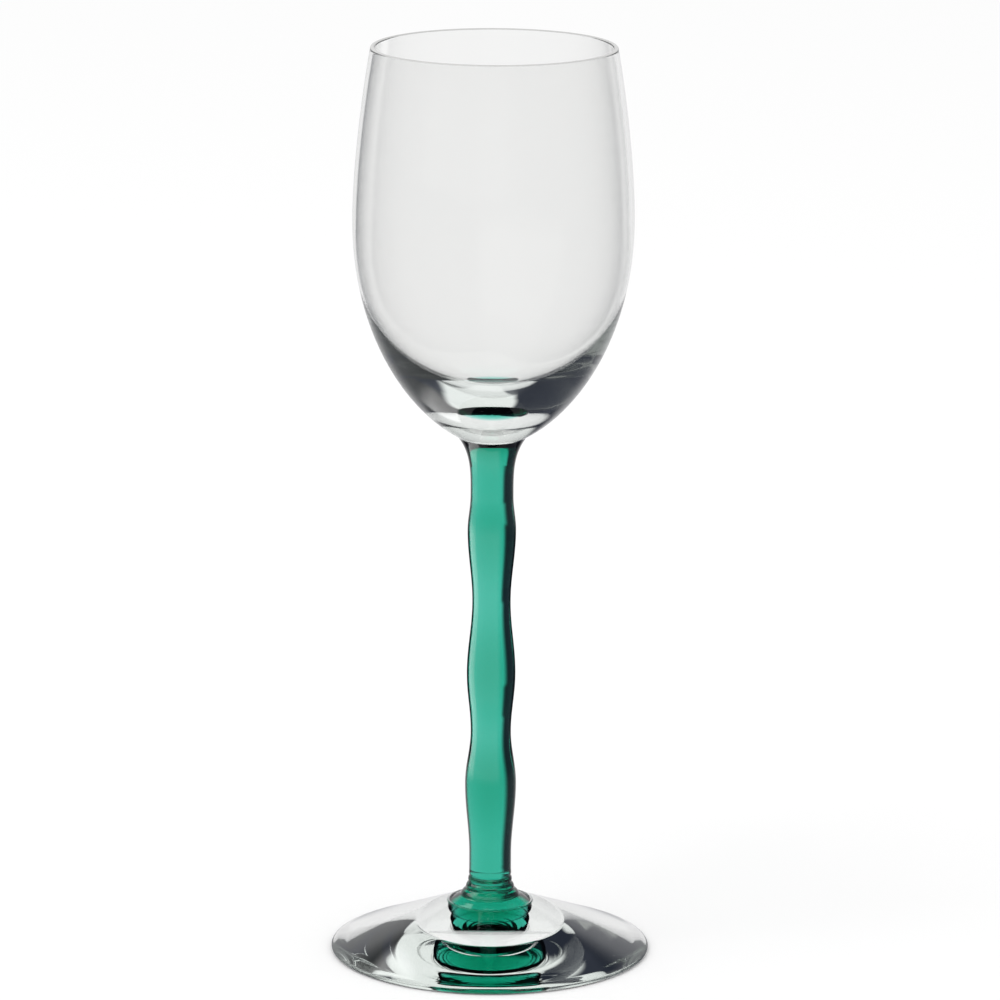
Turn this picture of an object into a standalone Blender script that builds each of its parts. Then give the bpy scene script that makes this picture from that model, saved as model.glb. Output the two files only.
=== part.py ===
"""A stemmed glass for white wine: a clear bowl, a wavy green stem and a clear foot.

All three pieces are turned about the upright axis. The foot stands on Z = 0.
"""

from math import cos, pi, radians, sin

import bmesh
import bpy

# Foot, in metres
FOOT_RADIUS = 0.03656
FOOT_EDGE = 0.0010
COLLAR_RADIUS = 0.0093
COLLAR_HEIGHT = 0.0112
STANDING_RING_WIDTH = 0.0030
HOLLOW_RISE = 0.0018
DIMPLE_RADIUS = 0.0150
FLOOR_THICKNESS = 0.0007

# End of the stem, sunk in the foot below the collar
SUNK_LENGTH = 0.0063
SUNK_TAPER = 0.0008
SUNK_ROUNDING = 0.0015

# Stem: each rise runs from the turn below, the first one from the collar
LOW_NECK_RISE = 0.0111
LOW_NECK_RADIUS = 0.00483
LOW_SWELL_RISE = 0.0169
LOW_SWELL_RADIUS = 0.00588
MIDDLE_NECK_RISE = 0.0124
MIDDLE_NECK_RADIUS = 0.00460
MIDDLE_SWELL_RISE = 0.0137
MIDDLE_SWELL_RADIUS = 0.00556
UPPER_NECK_RISE = 0.0170
UPPER_NECK_RADIUS = 0.00437
UPPER_SWELL_RISE = 0.0166
UPPER_SWELL_RADIUS = 0.00551
TOP_NECK_RISE = 0.0081
TOP_NECK_RADIUS = 0.00488
TOP_FLARE_RISE = 0.0135

# Bowl: heights run up from the joint with the stem
BUTTON_RADIUS = 0.0076
BUTTON_TOP_RADIUS = 0.0079
BELLY_RADIUS = 0.03177
BELLY_RISE = 0.0502
BELLY_DEPTH = 0.0522
RIM_RADIUS = 0.02772
RIM_RISE = 0.0895
WALL = 0.00105
INSIDE_DEPTH = 0.0415

# Free space left at a fused joint
JOINT_GAP = 0.0003

# How full each curve is: the exponents of its formula
COLLAR_FLARE = 4.7
TOP_FLARE = 3.5
SHOULDER_CURVE = 1.66
BELLY_CURVE_DOWN = 2.07
BELLY_CURVE_OUT = 1.70
INSIDE_CURVE_DOWN = 2.6
INSIDE_CURVE_OUT = 2.0

# Mesh density
BOWL_SIDES = 60
STEM_SIDES = 36
FOOT_SIDES = 60
STEPS_PER_TURN = 6
STEPS_SHOULDER = 8
STEPS_BELLY = 13
STEPS_ROUND = 4
STEPS_HOLLOW = 4
STEPS_DIMPLE = 5
STEPS_CONE = 4
POLE_MERGE = 1e-6
SHARP_ANGLE = radians(40)

# Linear colours of the two melts
CLEAR_COLOUR = (0.86, 0.87, 0.86, 1.0)
GREEN_COLOUR = (0.02, 0.40, 0.20, 1.0)
POLISHED = 0.02
GLASS_IOR = 1.5


def steps(count):
    """Even fractions from 0 to 1, both ends included."""
    return [index / count for index in range(count + 1)]


def glass(name, colour):
    """A polished glass of one colour."""
    material = bpy.data.materials.new(name)
    material.use_nodes = True
    shader = material.node_tree.nodes["Principled BSDF"]
    shader.inputs["Base Color"].default_value = colour
    shader.inputs["Roughness"].default_value = POLISHED
    shader.inputs["Metallic"].default_value = 0.0
    shader.inputs["IOR"].default_value = GLASS_IOR
    shader.inputs["Transmission Weight"].default_value = 1.0
    return material


def turned(name, outline, sides, height, material, carrier):
    """One solid turned from an outline of (radius, height) points that starts and ends on the axis."""
    shape = bmesh.new()
    points = [shape.verts.new((radius, 0.0, rise)) for radius, rise in outline]
    edges = [shape.edges.new(pair) for pair in zip(points, points[1:])]
    bmesh.ops.spin(
        shape,
        geom=points + edges,
        cent=(0.0, 0.0, 0.0),
        axis=(0.0, 0.0, 1.0),
        angle=2 * pi,
        steps=sides,
        use_merge=True,
    )
    bmesh.ops.remove_doubles(shape, verts=shape.verts, dist=POLE_MERGE)
    bmesh.ops.recalc_face_normals(shape, faces=shape.faces)
    mesh = bpy.data.meshes.new(name)
    shape.to_mesh(mesh)
    shape.free()
    mesh.shade_smooth()
    mesh.set_sharp_from_angle(angle=SHARP_ANGLE)
    mesh.materials.append(material)
    piece = bpy.data.objects.new(name, mesh)
    bpy.context.collection.objects.link(piece)
    piece.parent = carrier
    piece.location.z = height
    return piece


def sunk_end(clearance):
    """The stem's end as (radius, height) points from the collar down to the axis, grown by a clearance."""
    rounding = SUNK_ROUNDING + clearance
    round_centre = COLLAR_RADIUS - SUNK_TAPER - SUNK_ROUNDING
    outline = [(COLLAR_RADIUS + clearance, 0.0)]
    for share in steps(STEPS_ROUND):
        angle = share * pi / 2
        drop = SUNK_LENGTH - SUNK_ROUNDING + rounding * sin(angle)
        outline.append((round_centre + rounding * cos(angle), -drop))
    outline.append((0.0, -SUNK_LENGTH - clearance))
    return outline


def foot_outline():
    """From the socket's floor up to the collar, down the cone, over the standing ring and up the hollow."""
    edge_radius = FOOT_EDGE / 2
    edge_centre = FOOT_RADIUS - edge_radius
    ring_inside = edge_centre - STANDING_RING_WIDTH
    socket = [(radius, COLLAR_HEIGHT + rise) for radius, rise in sunk_end(JOINT_GAP)]
    outline = socket[::-1]
    mouth = socket[0][0]
    for share in steps(STEPS_CONE)[1:-1]:
        radius = mouth + share * (edge_centre - mouth)
        outline.append((radius, COLLAR_HEIGHT + share * (FOOT_EDGE - COLLAR_HEIGHT)))
    for share in steps(STEPS_ROUND):
        angle = pi / 2 - share * pi
        outline.append((edge_centre + edge_radius * cos(angle), edge_radius * (1 + sin(angle))))
    for share in steps(STEPS_HOLLOW):
        radius = ring_inside + share * (DIMPLE_RADIUS - ring_inside)
        outline.append((radius, HOLLOW_RISE * (1 - (radius / ring_inside) ** 2)))
    dimple_edge = outline[-1][1]
    dimple_top = socket[-1][1] - FLOOR_THICKNESS
    for share in steps(STEPS_DIMPLE)[1:]:
        inward = 1 - share
        outline.append((DIMPLE_RADIUS * inward, dimple_top + (dimple_edge - dimple_top) * inward**2))
    return outline


def stem_turns():
    """The (radius, height) of each neck and swell, upwards from the collar."""
    chain = (
        (LOW_NECK_RADIUS, LOW_NECK_RISE),
        (LOW_SWELL_RADIUS, LOW_SWELL_RISE),
        (MIDDLE_NECK_RADIUS, MIDDLE_NECK_RISE),
        (MIDDLE_SWELL_RADIUS, MIDDLE_SWELL_RISE),
        (UPPER_NECK_RADIUS, UPPER_NECK_RISE),
        (UPPER_SWELL_RADIUS, UPPER_SWELL_RISE),
        (TOP_NECK_RADIUS, TOP_NECK_RISE),
    )
    turns = []
    height = 0.0
    for radius, rise in chain:
        height += rise
        turns.append((radius, height))
    return turns


def stem_outline(turns, length):
    """From the flared top, clear of the bowl, down the waves to the flared collar and the sunk end."""
    top_radius, top_height = turns[-1]
    low_radius, low_height = turns[0]
    flare = length - JOINT_GAP - top_height
    outline = [(0.0, length - JOINT_GAP)]
    for share in steps(STEPS_PER_TURN)[:-1]:
        widening = (BUTTON_RADIUS - top_radius) * (1 - share) ** TOP_FLARE
        outline.append((top_radius + widening, top_height + flare * (1 - share)))
    for (radius, height), (next_radius, next_height) in zip(turns[:0:-1], turns[-2::-1]):
        for share in steps(STEPS_PER_TURN)[:-1]:
            wave = (1 - cos(pi * share)) / 2
            outline.append((radius + wave * (next_radius - radius), height + share * (next_height - height)))
    for share in steps(STEPS_PER_TURN)[:-1]:
        widening = (COLLAR_RADIUS - low_radius) * share**COLLAR_FLARE
        outline.append((low_radius + widening, low_height * (1 - share)))
    outline += sunk_end(0.0)
    return outline


def shoulder_radius(rise):
    """Outer radius of the bowl between its belly and its rim."""
    share = (rise - BELLY_RISE) / (RIM_RISE - BELLY_RISE)
    return BELLY_RADIUS - (BELLY_RADIUS - RIM_RADIUS) * share**SHOULDER_CURVE


def bowl_outline():
    """From the floor of the bowl up its inside, over the rim, down its outside and round the button."""
    inside_belly = BELLY_RADIUS - WALL
    rim_rounding = WALL / 2
    rim_centre = RIM_RISE - rim_rounding
    outline = []
    for share in steps(STEPS_BELLY)[:-1]:
        drop = cos(share * pi / 2)
        radius = inside_belly * (1 - drop**INSIDE_CURVE_DOWN) ** (1 / INSIDE_CURVE_OUT)
        outline.append((radius, BELLY_RISE - INSIDE_DEPTH * drop))
    side = [BELLY_RISE + share * (rim_centre - BELLY_RISE) for share in steps(STEPS_SHOULDER)]
    outline += [(shoulder_radius(rise) - WALL, rise) for rise in side]
    lip = shoulder_radius(rim_centre) - rim_rounding
    for share in steps(STEPS_ROUND)[1:-1]:
        angle = pi * (1 - share)
        outline.append((lip + rim_rounding * cos(angle), rim_centre + rim_rounding * sin(angle)))
    outline += [(shoulder_radius(rise), rise) for rise in reversed(side)]
    lowest = (1 - (BUTTON_TOP_RADIUS / BELLY_RADIUS) ** BELLY_CURVE_OUT) ** (1 / BELLY_CURVE_DOWN)
    for share in steps(STEPS_BELLY)[1:]:
        drop = lowest * sin(share * pi / 2)
        radius = BELLY_RADIUS * (1 - drop**BELLY_CURVE_DOWN) ** (1 / BELLY_CURVE_OUT)
        outline.append((radius, BELLY_RISE - BELLY_DEPTH * drop))
    outline += [(BUTTON_RADIUS, 0.0), (0.0, 0.0)]
    return outline


def clear_scene():
    """Remove every object that the scene starts with."""
    for obj in list(bpy.data.objects):
        bpy.data.objects.remove(obj, do_unlink=True)


def main():
    """Turn the three pieces and stand them on one another."""
    clear_scene()
    glass_axis = bpy.data.objects.new("glass_axis", None)
    bpy.context.collection.objects.link(glass_axis)
    clear = glass("clear_glass", CLEAR_COLOUR)
    green = glass("green_glass", GREEN_COLOUR)
    turns = stem_turns()
    stem_length = turns[-1][1] + TOP_FLARE_RISE
    turned("foot", foot_outline(), FOOT_SIDES, 0.0, clear, glass_axis)
    turned("stem", stem_outline(turns, stem_length), STEM_SIDES, COLLAR_HEIGHT, green, glass_axis)
    turned("bowl", bowl_outline(), BOWL_SIDES, COLLAR_HEIGHT + stem_length, clear, glass_axis)


main()
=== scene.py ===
import logging
from abc import ABC, abstractmethod
from dataclasses import dataclass
from enum import Enum
from math import atan2, cos, exp, pi, radians, sin

import bpy
from mathutils import Matrix, Vector


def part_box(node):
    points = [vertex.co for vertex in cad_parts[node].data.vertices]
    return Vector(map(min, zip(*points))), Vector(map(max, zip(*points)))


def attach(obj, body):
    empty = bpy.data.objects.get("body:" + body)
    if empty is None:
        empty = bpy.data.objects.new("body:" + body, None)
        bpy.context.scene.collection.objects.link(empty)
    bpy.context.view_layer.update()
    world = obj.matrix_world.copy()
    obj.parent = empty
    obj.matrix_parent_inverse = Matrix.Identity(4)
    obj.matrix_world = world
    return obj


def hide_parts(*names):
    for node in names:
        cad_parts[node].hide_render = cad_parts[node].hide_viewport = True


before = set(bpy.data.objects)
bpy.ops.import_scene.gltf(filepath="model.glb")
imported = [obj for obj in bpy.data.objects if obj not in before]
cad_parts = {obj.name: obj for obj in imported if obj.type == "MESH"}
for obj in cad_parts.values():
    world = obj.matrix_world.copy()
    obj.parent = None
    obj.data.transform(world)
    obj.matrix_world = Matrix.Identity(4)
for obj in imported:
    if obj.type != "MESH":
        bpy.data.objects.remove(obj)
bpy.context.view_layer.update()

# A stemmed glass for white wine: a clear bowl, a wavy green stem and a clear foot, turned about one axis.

LOG = logging.getLogger("wine_glass")

Point = tuple[float, float]
Outline = list[Point]
Colour = tuple[float, float, float]
Span = tuple[float, float]
Sector = tuple[float, float, float]

WHITE: Colour = (1.0, 1.0, 1.0)


class Socket(Enum):
    """The shader sockets that the glass sets, by the names that the shader gives them."""

    TINT = "Base Color"
    ROUGHNESS = "Roughness"
    INDEX = "IOR"
    CLEARNESS = "Transmission Weight"


class Ray(Enum):
    """Kinds of ray that the studio answers in different ways."""

    CAMERA = "Is Camera Ray"
    GLOSSY = "Is Glossy Ray"
    REFLECTED = "Is Reflection Ray"
    REFRACTED = "Is Transmission Ray"


class Count(Enum):
    """What a ray counts on its way through the glass."""

    MIRRORINGS = "Glossy Depth"
    BENDS = "Transmission Depth"


def shares(count: int) -> list[float]:
    """Even fractions from 0 to 1, both ends included."""
    return [index / count for index in range(count + 1)]


def rgba(colour: Colour) -> tuple[float, float, float, float]:
    """The colour with full opacity."""
    return (*colour, 1.0)


@dataclass(frozen=True)
class NodeWeb:
    """A node tree under construction, with short calls for its nodes and links.

    Attributes:
        tree: The material's or world's own node tree, emptied when the web is made.
    """

    tree: bpy.types.NodeTree

    # Places of a Mix node's two colours and of its result
    COLOURS = (6, 7)
    MIXED = 2

    def __post_init__(self) -> None:
        """Start from an empty tree."""
        self.tree.nodes.clear()

    def add(self, kind: str, **settings: object) -> bpy.types.Node:
        """Add one node.

        Args:
            kind: The node type's name after "ShaderNode".
            **settings: Attributes of the node.

        Returns:
            The new node.
        """
        node = self.tree.nodes.new(f"ShaderNode{kind}")
        for name, value in settings.items():
            setattr(node, name, value)
        return node

    def feed(self, node: bpy.types.Node, inputs: dict[str | int, object]) -> None:
        """Set or link a node's inputs.

        Args:
            node: The node that receives.
            inputs: For each input's name or place, a plain value or another node's output.
        """
        for name, value in inputs.items():
            if isinstance(value, bpy.types.NodeSocket):
                self.tree.links.new(value, node.inputs[name])
            else:
                node.inputs[name].default_value = value

    def math(self, operation: str, first: object, second: object = 0.0) -> bpy.types.NodeSocket:
        """Work out one sum on two values.

        Args:
            operation: The Math node's name for the sum.
            first: A socket or a plain value.
            second: Another one.

        Returns:
            The result's socket.
        """
        node = self.add("Math", operation=operation)
        self.feed(node, {0: first, 1: second})
        return node.outputs[0]

    def ramp(self, value: object, start: Point, end: Point) -> bpy.types.NodeSocket:
        """A smooth step.

        Args:
            value: What the step reads.
            start: Where the step starts, and the result up to there.
            end: Where the step ends, and the result from there on.

        Returns:
            The result's socket.
        """
        node = self.add("MapRange", interpolation_type="SMOOTHSTEP")
        self.feed(
            node,
            {"Value": value, "From Min": start[0], "From Max": end[0], "To Min": start[1], "To Max": end[1]},
        )
        return node.outputs[0]

    def rise(self, value: object, span: Span) -> bpy.types.NodeSocket:
        """A smooth step from 0 where the span starts to 1 where it ends."""
        return self.ramp(value, (span[0], 0.0), (span[1], 1.0))

    def fall(self, value: object, span: Span) -> bpy.types.NodeSocket:
        """A smooth step from 1 where the span starts to 0 where it ends."""
        return self.ramp(value, (span[0], 1.0), (span[1], 0.0))

    def product(self, *factors: object) -> bpy.types.NodeSocket:
        """All the factors multiplied.

        Args:
            *factors: Two or more sockets or plain values.

        Returns:
            The result's socket.
        """
        result = factors[0]
        for factor in factors[1:]:
            result = self.math("MULTIPLY", result, factor)
        return result

    def choose(self, share: object, otherwise: object, chosen: object) -> bpy.types.NodeSocket:
        """A blend of two colours.

        Args:
            share: How much of the second colour there is, from 0 to 1.
            otherwise: The first colour, plain or a socket.
            chosen: The second colour.

        Returns:
            The blend's socket.
        """
        node = self.add("Mix", data_type="RGBA")
        self.feed(node, {"Factor": share})
        for place, value in zip(self.COLOURS, (otherwise, chosen)):
            self.feed(node, {place: rgba(value) if isinstance(value, tuple) else value})
        return node.outputs[self.MIXED]

    def level(self, direction: object) -> bpy.types.NodeSocket:
        """The level part of a direction.

        Args:
            direction: A socket with a vector.

        Returns:
            A socket with a level unit vector.
        """
        flat = self.add("VectorMath", operation="MULTIPLY")
        self.feed(flat, {0: direction, 1: (1.0, 1.0, 0.0)})
        unit = self.add("VectorMath", operation="NORMALIZE")
        self.feed(unit, {0: flat.outputs[0]})
        return unit.outputs[0]

    def sector(self, bearing: object, first: float, last: float, soft: float) -> bpy.types.NodeSocket:
        """1 within a sector of bearings, and 0 outside.

        Args:
            bearing: A socket with a level unit vector.
            first: Where the sector starts, in degrees from straight behind the glass, clockwise from above.
            last: Where it ends.
            soft: Width of the blend at both its edges, in degrees.

        Returns:
            The result's socket.
        """
        middle = radians(first + last) / 2
        facing = self.add("VectorMath", operation="DOT_PRODUCT")
        self.feed(facing, {0: bearing, 1: (sin(middle), cos(middle), 0.0)})
        outer = (cos(radians(last - first + soft) / 2), 0.0)
        inner = (cos(radians(last - first - soft) / 2), 1.0)
        return self.ramp(facing.outputs["Value"], outer, inner)

    def ray(self, kind: Ray) -> bpy.types.NodeSocket:
        """1 for a ray of that kind, and 0 for any other."""
        return self.add("LightPath").outputs[kind.value]

    def fewer(self, count: Count, limit: int) -> bpy.types.NodeSocket:
        """1 for a ray with fewer of them behind it than the limit, and 0 for any other."""
        return self.math("LESS_THAN", self.add("LightPath").outputs[count.value], limit - 0.5)

    def straight(self) -> bpy.types.NodeSocket:
        """1 for a ray that no face has thrown back on its way, and 0 for any other."""
        return self.fewer(Count.MIRRORINGS, 1)

    def mirrored(self) -> bpy.types.NodeSocket:
        """1 for a ray that a polished face has just thrown back, and 0 for any other."""
        return self.product(self.ray(Ray.GLOSSY), self.ray(Ray.REFLECTED))


@dataclass(frozen=True)
class Melt:
    """A melt of glass, polished by the fire.

    Attributes:
        name: The material's name.
        slot: The record's material slot; not used.
        tint: The tint that a ray takes where it meets a surface straight on.
        edge: Painted shade: the darker tint that it takes where it grazes one, standing in for the dark
            surroundings that its edges would bend.
        edge_shade_span: From where to where the tint changes to that painted shade, between 0 for straight
            on and 1 for grazing.
        absorbed: The rate at which light fades in the melt, per metre, for each colour.
        index: The index of refraction.
    """

    name: str
    slot: str
    tint: Colour
    edge: Colour
    edge_shade_span: Span
    absorbed: Colour
    index: float = 1.5

    FUSED = "fused"
    UNBENT = 1.0

    def material(self) -> bpy.types.Material:
        """Make the melt's material, in which faces that are melted to a neighbour don't bend the light.

        Returns:
            The new material.
        """
        material = bpy.data.materials.new(self.name)
        material.use_nodes = True
        web = NodeWeb(material.node_tree)
        fused = web.add("Attribute", attribute_name=self.FUSED)
        # Painted shade: the tint darkens towards the edge colour where a ray grazes the surface, standing in
        # for the dark surroundings that the edges would bend.
        grazing = web.add("LayerWeight").outputs["Facing"]
        surface = web.add("BsdfPrincipled")
        web.feed(
            surface,
            {
                Socket.TINT.value: web.choose(web.rise(grazing, self.edge_shade_span), self.tint, self.edge),
                Socket.ROUGHNESS.value: 0.0,
                Socket.INDEX.value: web.ramp(fused.outputs["Fac"], (0.0, self.index), (1.0, self.UNBENT)),
                Socket.CLEARNESS.value: 1.0,
            },
        )
        inside = web.add("VolumeAbsorption")
        density = max(self.absorbed)
        passed = tuple(1 - rate / density for rate in self.absorbed)
        web.feed(inside, {"Color": rgba(passed), "Density": density})
        output = web.add("OutputMaterial")
        web.feed(output, {"Surface": surface.outputs[0], "Volume": inside.outputs[0]})
        return material


# Painted shade: the rounded lip is drawn as an opaque soft grey line in place of the light that the clear
# rim would bend.
@dataclass(frozen=True)
class LipPaintedShade:
    """A lip that the fire has rounded, drawn as an opaque soft grey line, alike from all sides: painted
    shade in place of the light that the clear rim would bend.

    Attributes:
        name: The material's name.
        tint: Its grey, a painted shade.
        roughness: How soft its gloss is.
    """

    name: str = "clear_glass_lip_painted_shade"
    tint: Colour = (0.62, 0.62, 0.61)
    roughness: float = 0.25

    def material(self) -> bpy.types.Material:
        """Make the lip's material.

        Returns:
            The new material.
        """
        material = bpy.data.materials.new(self.name)
        material.use_nodes = True
        web = NodeWeb(material.node_tree)
        surface = web.add("BsdfPrincipled")
        web.feed(surface, {Socket.TINT.value: rgba(self.tint), Socket.ROUGHNESS.value: self.roughness})
        web.feed(web.add("OutputMaterial"), {"Surface": surface.outputs[0]})
        return material


@dataclass(frozen=True)
class Lathe:
    """Turns an outline about the upright axis.

    Attributes:
        turns: Faces around the axis.
        merging: Points closer than this become one.
        crease: Edges sharper than this angle stay sharp.
    """

    turns: int = 224
    merging: float = 1e-6
    crease: float = radians(35)

    def turn(self, name: str, outline: Outline) -> bpy.types.Object:
        """Draw an outline edge by edge and spin it into a closed solid.

        Args:
            name: The piece's name.
            outline: Points of (radius, height), from the axis and back to it.

        Returns:
            The solid, with its place in its mesh.
        """
        bpy.ops.object.select_all(action="DESELECT")
        bpy.ops.mesh.primitive_plane_add(enter_editmode=True, location=(0, 0, 0))
        piece = bpy.context.object
        piece.name = piece.data.name = name
        bpy.ops.mesh.select_mode(type="VERT")
        bpy.ops.mesh.select_all(action="SELECT")
        bpy.ops.mesh.merge(type="CENTER")
        radius, height = outline[0]
        bpy.ops.transform.translate(value=(radius, 0.0, height))
        for (radius, height), (next_radius, next_height) in zip(outline, outline[1:]):
            step = (next_radius - radius, 0.0, next_height - height)
            bpy.ops.mesh.extrude_region_move(TRANSFORM_OT_translate={"value": step})
        bpy.ops.mesh.select_all(action="SELECT")
        bpy.ops.mesh.spin(steps=self.turns, angle=2 * pi, center=(0, 0, 0), axis=(0, 0, 1))
        bpy.ops.mesh.select_all(action="SELECT")
        bpy.ops.mesh.remove_doubles(threshold=self.merging)
        bpy.ops.mesh.normals_make_consistent(inside=False)
        bpy.ops.object.mode_set(mode="OBJECT")
        bpy.ops.object.shade_smooth_by_angle(angle=self.crease)
        return piece


@dataclass
class GlassPiece(ABC):
    """One gather of glass, turned to shape and melted to its neighbours.

    Attributes:
        melt: What it is made of.
        seam: Space left at a melted joint, so that no two faces lie on each other.
    """

    melt: Melt
    seam: float = 0.00002

    NODE = ""

    @abstractmethod
    def outline(self) -> Outline:
        """Points of (radius, height) from the axis and back to it."""

    @abstractmethod
    def is_fused(self, radius: float, height: float) -> bool:
        """Whether a face with its centre there is melted to a neighbour."""

    def is_lip(self, height: float) -> bool:
        """Whether a face with its centre at that height is part of a rounded lip."""
        return False

    def build(self, lathe: Lathe) -> None:
        """Turn the piece, dress it and let it stand for its node.

        Args:
            lathe: What turns the outline.
        """
        piece = lathe.turn(f"{self.NODE}_glass", self.outline())
        piece.data.materials.append(self.melt.material())
        fused = piece.data.attributes.new(Melt.FUSED, "FLOAT", "FACE")
        for face, mark in zip(piece.data.polygons, fused.data):
            mark.value = float(self.is_fused(face.center.xy.length, face.center.z))
        lip = [face for face in piece.data.polygons if self.is_lip(face.center.z)]
        if lip:
            # Painted shade: the lip's faces get the opaque grey in place of the clear melt.
            piece.data.materials.append(LipPaintedShade().material())
        for face in lip:
            face.material_index = len(piece.data.materials) - 1
        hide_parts(self.NODE)
        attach(piece, "root")
        LOG.info("%s: %d faces", piece.name, len(piece.data.polygons))


@dataclass
class SunkEnd:
    """The end of the stem that is sunk in the foot.

    Attributes:
        radius: At the collar, where it goes in.
        length: From the collar down to its flat end.
        taper: Radius lost from the collar down.
        rounding: Of the edge at its end.
        arc_steps: Steps of that rounding.
    """

    radius: float
    length: float
    taper: float = 0.0008
    rounding: float = 0.0015
    arc_steps: int = 12

    def outline(self, collar: float, clearance: float) -> Outline:
        """The end's outline.

        Args:
            collar: Height of the collar.
            clearance: How much it is grown all round.

        Returns:
            Points from the collar down to the axis.
        """
        rounding = self.rounding + clearance
        centre = self.radius - self.taper - self.rounding
        points = [(self.radius + clearance, collar)]
        for share in shares(self.arc_steps):
            angle = share * pi / 2
            drop = self.length - self.rounding + rounding * sin(angle)
            points.append((centre + rounding * cos(angle), collar - drop))
        points.append((0.0, collar - self.length - clearance))
        return points


@dataclass
class Bowl(GlassPiece):
    """The clear bowl: a thin wall, a thick base and a short button under it.

    Attributes:
        base: Height of the joint with the stem.
        rim: Height of the rim.
        belly_radius: Outer radius at the widest place.
        button_radius: Radius at the joint.
        button_top: Radius where the button meets the belly's curve.
        belly_rise: Height of the widest place over the joint.
        belly_depth: From the widest place to the end of the belly's curve.
        rim_radius: Outer radius at the rim.
        wall: Thickness of the wall.
        lip_reach: How far down from the rim the lip goes.
        inside_depth: From the widest place down to the floor inside.
        shoulder_curve: Exponent of the curve from belly to rim.
        belly_down: Exponent of the belly's curve along the axis.
        belly_out: Exponent of the belly's curve across it.
        inside_down: The same for the inside, along the axis.
        inside_out: The same for the inside, across it.
        curve_steps: Steps of each long curve.
        rim_steps: Steps round the rim.
    """

    base: float = 0.0
    rim: float = 0.0
    belly_radius: float = 0.0
    button_radius: float = 0.0076
    button_top: float = 0.0079
    belly_rise: float = 0.0502
    belly_depth: float = 0.0522
    rim_radius: float = 0.02772
    wall: float = 0.00105
    lip_reach: float = 0.0003
    inside_depth: float = 0.0415
    shoulder_curve: float = 1.66
    belly_down: float = 2.07
    belly_out: float = 1.70
    inside_down: float = 2.6
    inside_out: float = 2.0
    curve_steps: int = 64
    rim_steps: int = 12

    NODE = "bowl"

    def is_fused(self, radius: float, height: float) -> bool:
        """The flat face under the button is melted to the stem."""
        return height < self.base + self.seam

    def is_lip(self, height: float) -> bool:
        """The rim is rounded by the fire."""
        return height > self.rim - self.lip_reach

    def shoulder(self, height: float) -> float:
        """Follow the outside between belly and rim.

        Args:
            height: Over the table.

        Returns:
            The outer radius there.
        """
        belly = self.base + self.belly_rise
        share = (height - belly) / (self.rim - belly)
        return self.belly_radius - (self.belly_radius - self.rim_radius) * share**self.shoulder_curve

    def outline(self) -> Outline:
        """From the floor up the inside, over the rim, down the outside and round the button.

        Returns:
            Points of (radius, height).
        """
        belly = self.base + self.belly_rise
        inside = self.belly_radius - self.wall
        rounding = self.wall / 2
        rim_centre = self.rim - rounding
        points = []
        for share in shares(self.curve_steps)[:-1]:
            drop = cos(share * pi / 2)
            radius = inside * (1 - drop**self.inside_down) ** (1 / self.inside_out)
            points.append((radius, belly - self.inside_depth * drop))
        side = [belly + share * (rim_centre - belly) for share in shares(self.curve_steps)]
        points += [(self.shoulder(height) - self.wall, height) for height in side]
        lip = self.shoulder(rim_centre) - rounding
        for share in shares(self.rim_steps)[1:-1]:
            angle = pi * (1 - share)
            points.append((lip + rounding * cos(angle), rim_centre + rounding * sin(angle)))
        points += [(self.shoulder(height), height) for height in reversed(side)]
        lowest = (1 - (self.button_top / self.belly_radius) ** self.belly_out) ** (1 / self.belly_down)
        for share in shares(self.curve_steps)[1:]:
            drop = lowest * sin(share * pi / 2)
            radius = self.belly_radius * (1 - drop**self.belly_down) ** (1 / self.belly_out)
            points.append((radius, belly - self.belly_depth * drop))
        points += [(self.button_radius, self.base), (0.0, self.base)]
        return points


@dataclass
class Turn:
    """A neck or a swell of the stem.

    Attributes:
        rise: From the turn below, or from the collar.
        radius: There.
    """

    rise: float
    radius: float


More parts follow.
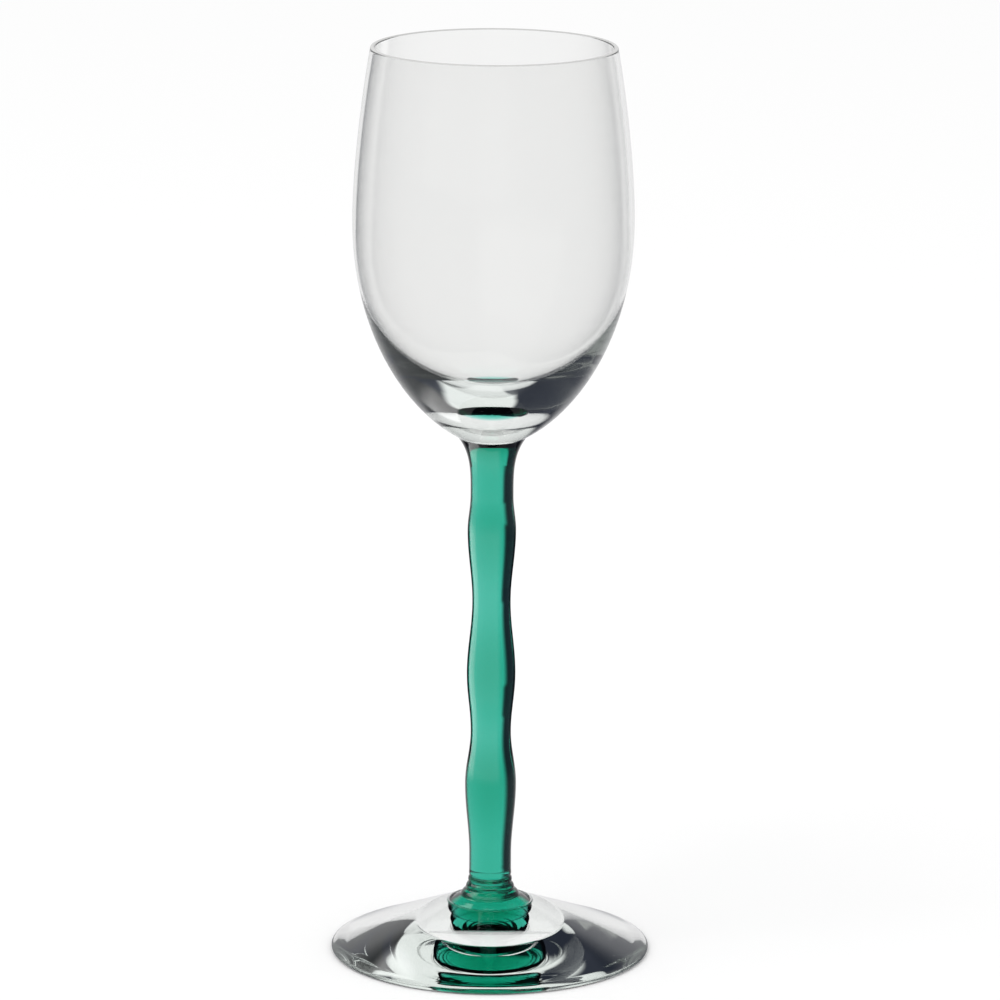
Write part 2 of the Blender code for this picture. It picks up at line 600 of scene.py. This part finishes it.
@dataclass
class Stem(GlassPiece):
    """The solid green stem: necks and swells between two flares, with its end sunk in the foot.

    Attributes:
        sunk: Its end in the foot.
        collar: Height of the collar on the foot.
        top: Height of the joint with the bowl.
        top_radius: Radius at that joint.
        collar_flare: Exponent of the flare at the foot.
        top_flare: Exponent of the flare at the bowl.
        turn_steps: Steps from turn to turn.
        flare_steps: Steps down the flare with the tool's rings.
        ring_height: Of the middle one of the tool's rings, over the collar.
        ring_spread: How far the rings reach from there.
        ring_pitch: From ring to ring.
        ring_depth: How deep the rings are cut.
        ring_edge: How narrow they are, as an exponent.
        ring_fade: How suddenly they end, as an exponent.
    """

    sunk: SunkEnd | None = None
    collar: float = 0.0
    top: float = 0.0
    top_radius: float = 0.0076
    collar_flare: float = 4.7
    top_flare: float = 3.5
    turn_steps: int = 28
    flare_steps: int = 140
    ring_height: float = 0.0030
    ring_spread: float = 0.0036
    ring_pitch: float = 0.00157
    ring_depth: float = 0.00030
    ring_edge: float = 2.0
    ring_fade: int = 4

    NODE = "stem"
    TURNS = (
        Turn(0.0111, 0.00483),
        Turn(0.0169, 0.00588),
        Turn(0.0124, 0.00460),
        Turn(0.0137, 0.00556),
        Turn(0.0170, 0.00437),
        Turn(0.0166, 0.00551),
        Turn(0.0081, 0.00488),
    )

    def is_fused(self, radius: float, height: float) -> bool:
        """The flat top is melted to the bowl, and the sunk end to the foot."""
        return height < self.collar or height > self.top - 2 * self.seam

    def rings(self, height: float) -> float:
        """Cut the tool's rings.

        Args:
            height: Over the table.

        Returns:
            The radius that the rings take away there.
        """
        offset = height - self.collar - self.ring_height
        wave = (1 + cos(2 * pi * offset / self.ring_pitch)) / 2
        fading = exp(-((offset / self.ring_spread) ** self.ring_fade))
        return self.ring_depth * wave**self.ring_edge * fading

    def turns(self) -> Outline:
        """Stand the turns on one another, from the collar up.

        Returns:
            The (radius, height) of each turn.
        """
        height = self.collar
        points = []
        for turn in self.TURNS:
            height += turn.rise
            points.append((turn.radius, height))
        return points

    def outline(self) -> Outline:
        """From the flat top down the flare, the waves and the collar to the sunk end.

        Returns:
            Points of (radius, height).
        """
        turns = self.turns()
        top_radius, top_height = turns[-1]
        low_radius, low_height = turns[0]
        flat_top = self.top - self.seam
        points = [(0.0, flat_top)]
        for share in shares(self.turn_steps)[:-1]:
            widening = (self.top_radius - top_radius) * (1 - share) ** self.top_flare
            points.append((top_radius + widening, top_height + (flat_top - top_height) * (1 - share)))
        for (radius, height), (next_radius, next_height) in zip(turns[:0:-1], turns[-2::-1]):
            for share in shares(self.turn_steps)[:-1]:
                wave = (1 - cos(pi * share)) / 2
                bulge = wave * (next_radius - radius)
                points.append((radius + bulge, height + share * (next_height - height)))
        for share in shares(self.flare_steps)[:-1]:
            height = low_height + share * (self.collar - low_height)
            widening = (self.sunk.radius - low_radius) * share**self.collar_flare
            points.append((low_radius + widening - self.rings(height), height))
        return points + self.sunk.outline(self.collar, 0.0)


@dataclass
class Foot(GlassPiece):
    """The clear foot: a low cone with a socket for the stem, a hollow and a polished dimple below.

    Attributes:
        sunk: The stem's end that it holds.
        collar: Height of its collar.
        radius: At its edge.
        edge: Thickness of its rounded edge.
        ring_width: Of the flat ring that it stands on.
        hollow_rise: Of the hollow, towards its middle.
        dimple_radius: Of the dimple in the hollow's middle.
        floor_thickness: Glass left between the dimple and the socket.
        bead: Radius of the ridge that the melt leaves round the stem.
        cone_steps: Steps down the cone.
        edge_steps: Steps round the edge and over the ridge.
        hollow_steps: Steps of the hollow and of the dimple.
    """

    sunk: SunkEnd | None = None
    collar: float = 0.0
    radius: float = 0.0
    edge: float = 0.0010
    ring_width: float = 0.0030
    hollow_rise: float = 0.0018
    dimple_radius: float = 0.0150
    floor_thickness: float = 0.0010
    bead: float = 0.0003
    cone_steps: int = 24
    edge_steps: int = 12
    hollow_steps: int = 32

    NODE = "foot"

    def socket(self) -> Outline:
        """From the collar down to the socket's floor."""
        return self.sunk.outline(self.collar, self.seam)

    def is_fused(self, radius: float, height: float) -> bool:
        """The socket is melted to the stem's end."""
        return radius < self.sunk.radius + self.seam and height > self.socket()[-1][1] - self.seam

    def outline(self) -> Outline:
        """From the socket's floor up to the collar, down the cone, over the ring and up the hollow.

        Returns:
            Points of (radius, height).
        """
        rounding = self.edge / 2
        edge_centre = self.radius - rounding
        ring_inside = edge_centre - self.ring_width
        socket = self.socket()
        mouth = socket[0][0]
        points = socket[::-1]
        for share in shares(self.edge_steps)[1:-1]:
            angle = pi * (1 - share)
            points.append((mouth + self.bead * (1 + cos(angle)), self.collar + self.bead * sin(angle)))
        cone_top = mouth + 2 * self.bead
        for share in shares(self.cone_steps)[:-1]:
            radius = cone_top + share * (edge_centre - cone_top)
            points.append((radius, self.collar + share * (self.edge - self.collar)))
        for share in shares(self.edge_steps):
            angle = pi / 2 - share * pi
            points.append((edge_centre + rounding * cos(angle), rounding * (1 + sin(angle))))
        for share in shares(self.hollow_steps):
            radius = ring_inside + share * (self.dimple_radius - ring_inside)
            points.append((radius, self.hollow_rise * (1 - (radius / ring_inside) ** 2)))
        dimple_edge = points[-1][1]
        dimple_top = socket[-1][1] - self.floor_thickness
        for share in shares(self.hollow_steps)[1:]:
            inward = 1 - share
            rise = dimple_top + (dimple_edge - dimple_top) * inward**2
            points.append((self.dimple_radius * inward, rise))
        return points


@dataclass
class Studio:
    """A white table in a white room with dark cloths at its sides, as the glass mirrors and bends them.

    Attributes:
        table_half: Half the table's width.
        table_drop: How far the table lies under the foot.
        table_white: What the table sends back of the light on it.
        daylight: Strength of the room's even light.
        cloth: The dark cloth on the screen and far out on the table, as the stem bends it.
        left_side_and_table_shade: The room's left side, as the glass bends it, and the painted shade on the
            table that rays thrown back by the glass meet outside its lit sectors.
        right_side: The room's right side, as the glass bends it.
        front: The room's front, as the glass bends it.
        sheet: The screen's bright field, as the stem mirrors it.
        murk: The dark field on the screen's right.
        strip: The bright strip on the screen's left.
        pale: The table's far end, as the glass mirrors it.
        shade: The same on the right.
        dim: The rest of the room, as the glass mirrors it.
        ceiling: The room overhead, as the glass mirrors it.
        backdrop: The room behind the glass, as the glass mirrors it.
        lit_under: The table's lit sector under the foot, the rest of it painted in shade: first and last
            bearing and soft edge, in degrees.
        lit_beyond: The table's lit sector beyond the foot, the rest of it painted in shade.
        cloth_sector: Where the cloth is.
        left_sector: The room's dark left, as the glass bends it.
        right_sector: The room's dark right.
        back_sector: The room's white back.
        murk_sector: Where the screen's dark field on the right is.
        strip_sector: Where its bright strip is.
        dark_sector: Where its dark back is.
        shade_sector: Where the shade is.
        backdrop_sector: Where the backdrop is.
        foot_ends: Distances from the axis between which the table beyond the foot takes over.
        cloth_starts: Distances between which the table's cloth comes in.
        fields_start: Heights between which the screen's fields come in.
        fields_end: Heights between which they fade.
        cloth_low: Heights between which the screen's cloth comes in.
        cloth_high: Heights between which it fades.
        room_starts: Rises of a direction between which the room takes over from the table's far end.
        ceiling_starts: The same for the ceiling.
        screen_sides: Faces of the screen about the stem.
        screen_radius: Of that screen.
        screen_height: Of that screen.
        lamp_power: Of the soft lamp, in watts.
        lamp_size: Of the soft lamp.
        lamp_place: Where it hangs.
    """

    table_half: float = 4.0
    table_drop: float = 0.0002
    table_white: float = 0.97
    daylight: float = 0.985
    cloth: Colour = (0.025, 0.028, 0.042)
    left_side_and_table_shade: Colour = (0.024, 0.028, 0.042)
    right_side: Colour = (0.036, 0.037, 0.038)
    front: Colour = (0.30, 0.30, 0.30)
    sheet: Colour = (0.95, 1.0, 1.1)
    murk: Colour = (0.14, 0.15, 0.19)
    strip: Colour = (2.4, 2.4, 2.4)
    pale: Colour = (0.38, 0.39, 0.41)
    shade: Colour = (0.26, 0.27, 0.29)
    dim: Colour = (0.20, 0.21, 0.23)
    ceiling: Colour = (0.02, 0.02, 0.025)
    backdrop: Colour = (0.80, 0.80, 0.81)
    lit_under: Sector = (-4, 8, 4)
    lit_beyond: Sector = (-26, 49, 8)
    cloth_sector: Sector = (-58, -24, 14)
    left_sector: Sector = (-118, -20, 8)
    right_sector: Sector = (40, 168, 8)
    back_sector: Sector = (-27, 50, 8)
    murk_sector: Sector = (50, 140, 30)
    strip_sector: Sector = (-97, -57, 14)
    dark_sector: Sector = (-57, 57, 8)
    shade_sector: Sector = (45, 140, 40)
    backdrop_sector: Sector = (-30, 30, 40)
    foot_ends: Span = (0.038, 0.046)
    cloth_starts: Span = (0.30, 0.35)
    fields_start: Span = (0.030, 0.042)
    fields_end: Span = (0.085, 0.105)
    cloth_low: Span = (0.0005, 0.0015)
    cloth_high: Span = (0.106, 0.114)
    room_starts: Span = (0.05, 0.20)
    ceiling_starts: Span = (0.42, 0.62)
    screen_sides: int = 96
    screen_radius: float = 0.045
    screen_height: float = 0.118
    lamp_power: float = 3.5
    lamp_size: float = 0.9
    lamp_place: tuple[float, float, float] = (-0.7, -0.5, 1.3)

    def table(self) -> None:
        """Lay the table that the glass stands on."""
        bpy.ops.object.select_all(action="DESELECT")
        bpy.ops.mesh.primitive_plane_add(size=2 * self.table_half, location=(0, 0, 0))
        table = bpy.context.object
        table.name = table.data.name = "table"
        bpy.ops.object.mode_set(mode="EDIT")
        bpy.ops.mesh.select_all(action="SELECT")
        bpy.ops.transform.translate(value=(0.0, 0.0, -self.table_drop))
        bpy.ops.object.mode_set(mode="OBJECT")
        table.data.materials.append(self.table_finish())

    def table_finish(self) -> bpy.types.Material:
        """Matt white for the camera, and lit cards, dark cloths and painted shade on the table for what the
        glass mirrors and bends.

        Returns:
            The table's material.
        """
        material = bpy.data.materials.new("table_white")
        material.use_nodes = True
        web = NodeWeb(material.node_tree)
        place = web.add("TexCoord").outputs["Object"]
        bearing = web.level(place)
        reach = web.add("VectorMath", operation="LENGTH")
        web.feed(reach, {0: place})
        distance = reach.outputs["Value"]
        # Painted shade: for rays that the glass has thrown back, the table is dark except in lit sectors
        # under and beyond the foot.
        lit_beyond = web.product(web.rise(distance, self.foot_ends), web.sector(bearing, *self.lit_beyond))
        lit_under = web.product(web.fall(distance, self.foot_ends), web.sector(bearing, *self.lit_under))
        bounced_painted_shade = web.choose(web.math("ADD", lit_beyond, lit_under), self.left_side_and_table_shade, WHITE)
        cloth = web.product(self.cloth_share(web, bearing), web.rise(distance, self.cloth_starts))
        bent = web.choose(web.straight(), bounced_painted_shade, web.choose(cloth, WHITE, self.cloth))
        glow = web.add("Emission")
        web.feed(glow, {"Color": web.choose(web.mirrored(), bent, self.horizon(web, bearing))})
        matt = web.add("BsdfDiffuse")
        web.feed(matt, {"Color": rgba((self.table_white,) * 3)})
        seen_by_glass = web.math("MAXIMUM", web.mirrored(), web.ray(Ray.REFRACTED))
        blend = web.add("MixShader")
        web.feed(blend, {0: seen_by_glass, 1: matt.outputs[0], 2: glow.outputs[0]})
        web.feed(web.add("OutputMaterial"), {"Surface": blend.outputs[0]})
        return material

    def cloth_share(self, web: NodeWeb, bearing: bpy.types.NodeSocket) -> bpy.types.NodeSocket:
        """1 where light that has gone straight through one piece of glass meets the cloth.

        Args:
            web: The node tree that it is for.
            bearing: A socket with the level direction from the axis.

        Returns:
            The share's socket.
        """
        one_piece = web.fewer(Count.BENDS, 3)
        return web.product(one_piece, web.straight(), web.sector(bearing, *self.cloth_sector))

    def screen(self) -> None:
        """Stand a low round screen about the stem, which only the glass sees.

        The stem mirrors its bright strip, pale front and dark back, and bends its cloth into a dark edge.
        """
        bpy.ops.object.select_all(action="DESELECT")
        bpy.ops.mesh.primitive_cylinder_add(
            vertices=self.screen_sides,
            radius=self.screen_radius,
            depth=self.screen_height,
            end_fill_type="NOTHING",
            location=(0, 0, 0),
        )
        screen = bpy.context.object
        screen.name = screen.data.name = "screen"
        bpy.ops.object.mode_set(mode="EDIT")
        bpy.ops.mesh.select_all(action="SELECT")
        bpy.ops.transform.translate(value=(0.0, 0.0, self.screen_height / 2))
        bpy.ops.object.mode_set(mode="OBJECT")
        screen.data.materials.append(self.screen_finish())
        screen.visible_camera = False
        screen.visible_diffuse = False
        screen.visible_shadow = False

    def screen_finish(self) -> bpy.types.Material:
        """Bright and dark fields for what the glass mirrors, cloth for what it bends, and clear otherwise.

        Returns:
            The screen's material.
        """
        material = bpy.data.materials.new("screen_fields")
        material.use_nodes = True
        web = NodeWeb(material.node_tree)
        place = web.add("TexCoord").outputs["Object"]
        bearing = web.level(place)
        split = web.add("SeparateXYZ")
        web.feed(split, {0: place})
        height = split.outputs["Z"]
        field = web.choose(web.sector(bearing, *self.murk_sector), self.sheet, self.murk)
        field = web.choose(web.sector(bearing, *self.strip_sector), field, self.strip)
        field = web.choose(web.sector(bearing, *self.dark_sector), field, self.cloth)
        glow = web.add("Emission")
        web.feed(glow, {"Color": web.choose(web.mirrored(), self.cloth, field)})
        beside_stem = web.product(web.rise(height, self.fields_start), web.fall(height, self.fields_end))
        hung = web.product(web.rise(height, self.cloth_low), web.fall(height, self.cloth_high))
        cloth = web.product(self.cloth_share(web, bearing), hung, web.ray(Ray.REFRACTED))
        seen = web.math("MAXIMUM", web.product(web.mirrored(), beside_stem), cloth)
        blend = web.add("MixShader")
        web.feed(blend, {0: seen, 1: web.add("BsdfTransparent").outputs[0], 2: glow.outputs[0]})
        web.feed(web.add("OutputMaterial"), {"Surface": blend.outputs[0]})
        return material

    def horizon(self, web: NodeWeb, bearing: bpy.types.NodeSocket) -> bpy.types.NodeSocket:
        """What the glass mirrors far away: a bright backdrop, pale sides and a shade on the right.

        Args:
            web: The node tree that it is for.
            bearing: A socket with the level direction that is looked in.

        Returns:
            The colour's socket.
        """
        sides = web.choose(web.sector(bearing, *self.shade_sector), self.pale, self.shade)
        return web.choose(web.sector(bearing, *self.backdrop_sector), sides, self.backdrop)

    def room(self) -> None:
        """Light the room evenly, with dark sides for what is bent and a dim room for what is mirrored."""
        world = bpy.data.worlds.new("white_room")
        world.use_nodes = True
        web = NodeWeb(world.node_tree)
        direction = web.add("TexCoord").outputs["Generated"]
        bearing = web.level(direction)
        split = web.add("SeparateXYZ")
        web.feed(split, {0: direction})
        rise = split.outputs["Z"]
        bent = web.choose(web.sector(bearing, *self.right_sector), self.front, self.right_side)
        bent = web.choose(web.sector(bearing, *self.left_sector), bent, self.left_side_and_table_shade)
        bent = web.choose(web.sector(bearing, *self.back_sector), bent, WHITE)
        light = web.choose(web.ray(Ray.REFRACTED), (self.daylight,) * 3, bent)
        walls = web.choose(web.sector(bearing, *self.backdrop_sector), self.dim, self.backdrop)
        thrown_back = web.choose(web.rise(rise, self.room_starts), self.horizon(web, bearing), walls)
        thrown_back = web.choose(web.rise(rise, self.ceiling_starts), thrown_back, self.ceiling)
        light = web.choose(web.mirrored(), light, thrown_back)
        light = web.choose(web.ray(Ray.CAMERA), light, WHITE)
        background = web.add("Background")
        web.feed(background, {"Color": light})
        web.feed(web.add("OutputWorld"), {"Surface": background.outputs[0]})
        world.cycles.sampling_method = "NONE"
        bpy.context.scene.world = world

    def lamp(self) -> None:
        """Hang the soft lamp that gives the glass its faint shadow."""
        bpy.ops.object.light_add(type="AREA", location=self.lamp_place)
        lamp = bpy.context.object
        lamp.name = lamp.data.name = "soft_lamp"
        lamp.data.energy = self.lamp_power
        lamp.data.size = self.lamp_size
        lamp.rotation_euler = (-Vector(self.lamp_place)).to_track_quat("-Z", "Y").to_euler()
        lamp.visible_glossy = False
        lamp.visible_transmission = False
        lamp.visible_camera = False

    def build(self) -> None:
        """Set up table, screen, room and lamp."""
        self.table()
        self.screen()
        self.room()
        self.lamp()
        LOG.info("studio: table, screen, room and lamp")


@dataclass
class View:
    """The photo's viewpoint.

    Attributes:
        distance: From the glass's axis, level.
        height: Of the lens over the table.
        pitch: Downward tilt.
        roll: Turn about the line of sight.
        focal_pixels: Focal length in pixels of the frame.
        frame_pixels: The frame's width.
        axis_pixel: Where the axis crosses the frame's middle row.
        sensor: Width of the sensor, in millimetres.
        clip_start: Nothing nearer than this is drawn.
    """

    distance: float = 1.29215
    height: float = 0.4075
    pitch: float = radians(13.136)
    roll: float = radians(0.32)
    focal_pixels: float = 5835.9
    frame_pixels: float = 1000.0
    axis_pixel: float = 491.8
    sensor: float = 36.0
    clip_start: float = 0.01

    def build(self) -> None:
        """Place the camera and plain colour handling."""
        scene = bpy.context.scene
        bpy.ops.object.camera_add()
        camera = bpy.context.object
        camera.name = camera.data.name = "photo_view"
        camera.data.sensor_width = self.sensor
        camera.data.lens = self.sensor * self.focal_pixels / self.frame_pixels
        camera.data.clip_start = self.clip_start
        yaw = atan2(self.frame_pixels / 2 - self.axis_pixel, self.focal_pixels)
        turn = Matrix.Rotation(-yaw, 4, "Z") @ Matrix.Rotation(pi / 2 - self.pitch, 4, "X")
        place = Matrix.Translation((0.0, -self.distance, self.height))
        camera.matrix_world = place @ turn @ Matrix.Rotation(self.roll, 4, "Z")
        scene.camera = camera
        scene.view_settings.view_transform = "Standard"
        LOG.info("camera: %.0f mm lens", camera.data.lens)


def set_bounces(count: int) -> None:
    """Let light bounce often enough to pass through all the glass."""
    cycles = bpy.context.scene.cycles
    cycles.max_bounces = cycles.glossy_bounces = cycles.transmission_bounces = count


def main() -> None:
    """Set up the view and the studio, then make the three pieces of the glass."""
    logging.basicConfig(level=logging.INFO, format="%(name)s %(message)s")
    View().build()
    Studio().build()
    set_bounces(count=32)
    # The melts' edge colours are painted shade: grey on the clear glass and black on the green stem where a
    # ray grazes.
    clear = Melt(
        "clear_glass_melt",
        "clear_glass",
        tint=(0.975, 0.975, 0.970),
        edge=(0.62, 0.62, 0.62),
        edge_shade_span=(0.55, 1.0),
        absorbed=(3.0, 2.0, 2.6),
    )
    green = Melt(
        "green_glass_melt",
        "green_glass",
        tint=(1.0, 1.0, 1.0),
        edge=(0.0, 0.0, 0.0),
        edge_shade_span=(0.50, 0.70),
        absorbed=(350.0, 80.0, 116.0),
    )
    bowl_low, bowl_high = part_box("bowl")
    foot_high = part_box("foot")[1]
    stem_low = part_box("stem")[0]
    collar = foot_high[2]
    sunk = SunkEnd(radius=0.0093, length=collar - stem_low[2])
    lathe = Lathe()
    Bowl(clear, base=bowl_low[2], rim=bowl_high[2], belly_radius=bowl_high[0]).build(lathe)
    Stem(green, sunk=sunk, collar=collar, top=bowl_low[2]).build(lathe)
    Foot(clear, sunk=sunk, collar=collar, radius=foot_high[0]).build(lathe)


if __name__ == "__main__":
    main()
